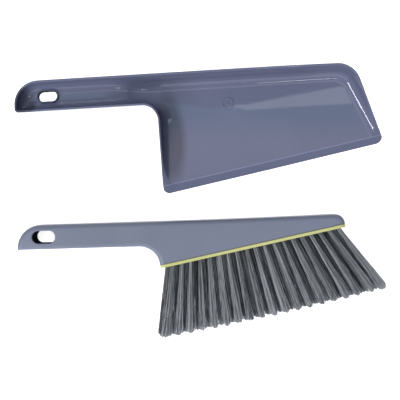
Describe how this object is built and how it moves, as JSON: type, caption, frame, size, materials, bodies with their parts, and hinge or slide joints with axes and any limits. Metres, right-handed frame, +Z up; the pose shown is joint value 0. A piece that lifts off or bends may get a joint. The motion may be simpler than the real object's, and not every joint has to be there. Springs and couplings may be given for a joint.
{
  "type": "dustpan and hand brush",
  "caption": "Glossy moulded dustpan with a channel handle and sloped lip, and a hand brush with a hollow two-part body, a coloured bristle plate and fanned tufts.",
  "frame": {"origin": "centre of the set's bounding box, on the surface that it lies on", "axes": "+X along the pan's back edge from its tail to its tray, +Y from the brush towards the pan, +Z up"},
  "size_m": [0.3748, 0.2632, 0.028],
  "materials": {
    "pan_plastic": "gloss",
    "body_plastic": "satin",
    "plate_plastic": "satin",
    "bristle": "satin",
    "anchor_wire": "satin"
  },
  "bodies": {
    "dustpan": {"dustpan": "pan_plastic"},
    "brush": {"brush_front_shell": "body_plastic", "brush_rear_shell": "body_plastic", "bristle_plate": "plate_plastic", "tuft_anchors": "anchor_wire", "bristle_tufts_01": "bristle", "bristle_tufts_02": "bristle", "bristle_tufts_03": "bristle", "bristle_tufts_04": "bristle", "bristle_tufts_05": "bristle", "bristle_tufts_06": "bristle", "bristle_tufts_07": "bristle", "bristle_tufts_08": "bristle", "bristle_tufts_09": "bristle", "bristle_tufts_10": "bristle", "bristle_tufts_11": "bristle", "bristle_tufts_12": "bristle", "bristle_tufts_13": "bristle", "bristle_tufts_14": "bristle", "bristle_tufts_15": "bristle", "bristle_tufts_16": "bristle", "bristle_tufts_17": "bristle", "bristle_tufts_18": "bristle", "bristle_tufts_19": "bristle"}
  },
  "joints": [
    {"name": "brush_lift", "type": "slide", "parent": "dustpan", "child": "brush", "axis": [0, 0, 1], "range_m": [0, 0.08]}
  ]
}
